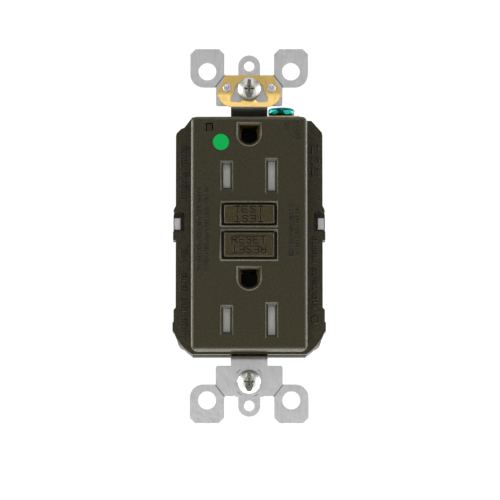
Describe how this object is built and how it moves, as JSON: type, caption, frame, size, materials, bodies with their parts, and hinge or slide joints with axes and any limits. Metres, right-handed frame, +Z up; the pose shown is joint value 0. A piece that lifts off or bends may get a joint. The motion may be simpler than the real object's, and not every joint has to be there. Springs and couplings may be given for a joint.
{
  "type": "gfci outlet",
  "caption": "Duplex wall outlet with ground-fault protection: test and reset buttons, shuttered blade slots, round-bottomed ground holes, metal mounting strap and screw terminals.",
  "frame": {"origin": "centre of the mounting strap, midway between its four ear holes, on the rear face of the ears, which seats on the wall box", "axes": "+X to the right and +Z up as seen by someone facing the outlet, +Y into the wall; the face looks along -Y"},
  "size_m": [0.0434, 0.0342, 0.1068],
  "materials": {
    "black_cover": "moulded thermoset",
    "board_green": "solder mask on laminate",
    "brown_button": "satin moulded thermoplastic",
    "brown_cover": "fine satin moulded thermoplastic",
    "brown_lens": "smoked translucent plastic",
    "capacitor_sleeve": "shrink sleeve",
    "chip_black": "moulded epoxy with tinned legs",
    "clip_brass": "stamped brass",
    "contact_brass": "rolled brass",
    "contact_tin": "tin-plated brass",
    "copper": "rolled copper",
    "copper_wire": "enamelled winding",
    "fibre": "vulcanised fibre",
    "green_dot": "inlaid plastic",
    "green_screw": "green dyed zinc",
    "led_epoxy": "clear epoxy",
    "pale_frame": "natural nylon",
    "resistor_tan": "lacquer",
    "rivet_steel": "upset steel",
    "screw_brass": "brass plate",
    "shutter_grey": "acetal",
    "spring_steel": "drawn wire",
    "strap_steel": "zinc-plated stamped steel",
    "varistor_blue": "dipped epoxy",
    "zinc_screw": "bright zinc",
    "zinc_steel": "zinc plate"
  },
  "bodies": {
    "root": {"front_cover": "brown_cover", "rear_cover": "black_cover", "middle_frame": "black_cover", "mounting_strap": "strap_steel", "ground_clip": "clip_brass", "rivets": "rivet_steel", "ground_contact_upper": "contact_brass", "ground_contact_lower": "contact_brass", "button_guide": "pale_frame", "ground_terminal_tab": "clip_brass", "grade_dot": "green_dot", "light_pipe": "brown_lens", "indicator_led": "led_epoxy", "hot_contact": "contact_brass", "neutral_contact": "contact_tin", "line_terminals": "contact_brass", "line_conductors": "copper", "shutter_retainers": "pale_frame", "test_contact_arm": "copper", "solenoid_bobbin": "pale_frame", "solenoid_coil": "copper_wire", "solenoid_frame": "zinc_steel", "core_housing": "pale_frame", "sensing_core": "copper_wire", "neutral_core": "copper_wire", "circuit_board": "board_green", "varistor": "varistor_blue", "control_chip": "chip_black", "capacitors": "capacitor_sleeve", "resistors": "resistor_tan", "assembly_screws": "zinc_steel"},
    "test_button": {"test_button": "brown_button", "test_spring": "spring_steel"},
    "reset_button": {"reset_button": "brown_button", "reset_pin": "zinc_steel", "reset_spring": "spring_steel"},
    "shutter_upper": {"shutter_upper": "shutter_grey", "shutter_spring_upper": "spring_steel"},
    "shutter_lower": {"shutter_lower": "shutter_grey", "shutter_spring_lower": "spring_steel"},
    "latch_block": {"latch_block": "pale_frame"},
    "latch_plate": {"latch_plate": "zinc_steel"},
    "hot_contact_arm": {"hot_contact_arm": "copper"},
    "neutral_contact_arm": {"neutral_contact_arm": "copper"},
    "plunger": {"solenoid_plunger": "zinc_steel", "plunger_spring": "spring_steel"},
    "screw_washer_top": {"screw_washer_top": "fibre"},
    "mounting_screw_top": {"mounting_screw_top": "zinc_screw"},
    "screw_washer_bottom": {"screw_washer_bottom": "fibre"},
    "mounting_screw_bottom": {"mounting_screw_bottom": "zinc_screw"},
    "ground_screw_washer": {"ground_screw_washer": "clip_brass"},
    "ground_screw": {"ground_screw": "green_screw"},
    "line_hot_clamp": {"line_hot_clamp": "zinc_steel"},
    "line_hot_screw": {"line_hot_screw": "screw_brass"},
    "line_neutral_clamp": {"line_neutral_clamp": "zinc_steel"},
    "line_neutral_screw": {"line_neutral_screw": "zinc_screw"},
    "load_hot_clamp": {"load_hot_clamp": "zinc_steel"},
    "load_hot_screw": {"load_hot_screw": "screw_brass"},
    "load_neutral_clamp": {"load_neutral_clamp": "zinc_steel"},
    "load_neutral_screw": {"load_neutral_screw": "zinc_screw"}
  },
  "joints": [
    {"name": "test_press", "type": "slide", "parent": "root", "child": "test_button", "axis": [0, 1, 0], "range_m": [0, 0.0015], "stiffness_N_per_m": 1200, "springref_m": -0.0008},
    {"name": "reset_press", "type": "slide", "parent": "root", "child": "reset_button", "axis": [0, 1, 0], "range_m": [0, 0.002], "stiffness_N_per_m": 900, "springref_m": -0.001},
    {"name": "shutter_upper_slide", "type": "slide", "parent": "root", "child": "shutter_upper", "axis": [1, 0, 0], "range_m": [0, 0.0026], "stiffness_N_per_m": 120, "springref_m": -0.001},
    {"name": "shutter_lower_slide", "type": "slide", "parent": "root", "child": "shutter_lower", "axis": [1, 0, 0], "range_m": [0, 0.0026], "stiffness_N_per_m": 120, "springref_m": -0.001},
    {"name": "latch_lift", "type": "slide", "parent": "root", "child": "latch_block", "axis": [0, -1, 0], "range_m": [0, 0.00085], "stiffness_N_per_m": 300, "springref_m": -0.0006},
    {"name": "hot_arm_flex", "type": "hinge", "parent": "root", "child": "hot_contact_arm", "pos_m": [0, 0.01365, 0.008], "axis": [-1, 0, 0], "range_deg": [0, 5.3]},
    {"name": "neutral_arm_flex", "type": "hinge", "parent": "root", "child": "neutral_contact_arm", "pos_m": [0, 0.01365, 0.008], "axis": [-1, 0, 0], "range_deg": [0, 5.3]},
    {"name": "plunger_pull", "type": "slide", "parent": "root", "child": "plunger", "axis": [0, 0, 1], "range_m": [0, 0.0012], "stiffness_N_per_m": 250, "springref_m": -0.001},
    {"name": "latch_plate_slide", "type": "slide", "parent": "latch_block", "child": "latch_plate", "axis": [0, 0, 1], "range_m": [0, 0.0012]},
    {"name": "mounting_screw_top_slide", "type": "slide", "parent": "root", "child": "screw_washer_top", "axis": [0, -1, 0], "range_m": [0, 0.0028]},
    {"name": "mounting_screw_top_turn", "type": "hinge", "parent": "screw_washer_top", "child": "mounting_screw_top", "pos_m": [0, 0, 0.04166], "axis": [0, -1, 0], "continuous": true},
    {"name": "mounting_screw_bottom_slide", "type": "slide", "parent": "root", "child": "screw_washer_bottom", "axis": [0, -1, 0], "range_m": [0, 0.0028]},
    {"name": "mounting_screw_bottom_turn", "type": "hinge", "parent": "screw_washer_bottom", "child": "mounting_screw_bottom", "pos_m": [0, 0, -0.04166], "axis": [0, -1, 0], "continuous": true},
    {"name": "line_hot_clamp_slide", "type": "slide", "parent": "root", "child": "line_hot_clamp", "axis": [-1, 0, 0], "range_m": [0, 0.002]},
    {"name": "line_hot_screw_turn", "type": "hinge", "parent": "line_hot_clamp", "child": "line_hot_screw", "pos_m": [-0.015, 0.014, 0.018], "axis": [-1, 0, 0], "range_deg": [0, 910]},
    {"name": "line_neutral_clamp_slide", "type": "slide", "parent": "root", "child": "line_neutral_clamp", "axis": [1, 0, 0], "range_m": [0, 0.002]},
    {"name": "line_neutral_screw_turn", "type": "hinge", "parent": "line_neutral_clamp", "child": "line_neutral_screw", "pos_m": [0.015, 0.014, 0.018], "axis": [1, 0, 0], "range_deg": [0, 910]},
    {"name": "load_hot_clamp_slide", "type": "slide", "parent": "root", "child": "load_hot_clamp", "axis": [-1, 0, 0], "range_m": [0, 0.002]},
    {"name": "load_hot_screw_turn", "type": "hinge", "parent": "load_hot_clamp", "child": "load_hot_screw", "pos_m": [-0.015, 0.014, -0.018], "axis": [-1, 0, 0], "range_deg": [0, 910]},
    {"name": "load_neutral_clamp_slide", "type": "slide", "parent": "root", "child": "load_neutral_clamp", "axis": [1, 0, 0], "range_m": [0, 0.002]},
    {"name": "load_neutral_screw_turn", "type": "hinge", "parent": "load_neutral_clamp", "child": "load_neutral_screw", "pos_m": [0.015, 0.014, -0.018], "axis": [1, 0, 0], "range_deg": [0, 910]},
    {"name": "ground_screw_lift", "type": "slide", "parent": "root", "child": "ground_screw_washer", "axis": [0, 0, 1], "range_m": [0, 0.002]},
    {"name": "ground_screw_turn", "type": "hinge", "parent": "ground_screw_washer", "child": "ground_screw", "pos_m": [0.0093, 0.0049, 0.034], "axis": [0, 0, 1], "range_deg": [0, 910]}
  ],
  "couplings": [
    {"joint": "hot_arm_flex", "follows": "latch_lift", "rad_per_m": 95.24},
    {"joint": "neutral_arm_flex", "follows": "latch_lift", "rad_per_m": 95.24},
    {"joint": "latch_plate_slide", "follows": "plunger_pull", "ratio": 1},
    {"joint": "line_hot_screw_turn", "follows": "line_hot_clamp_slide", "rad_per_m": 7915.8},
    {"joint": "line_neutral_screw_turn", "follows": "line_neutral_clamp_slide", "rad_per_m": 7915.8},
    {"joint": "load_hot_screw_turn", "follows": "load_hot_clamp_slide", "rad_per_m": 7915.8},
    {"joint": "load_neutral_screw_turn", "follows": "load_neutral_clamp_slide", "rad_per_m": 7915.8},
    {"joint": "ground_screw_turn", "follows": "ground_screw_lift", "rad_per_m": 7915.8}
  ]
}
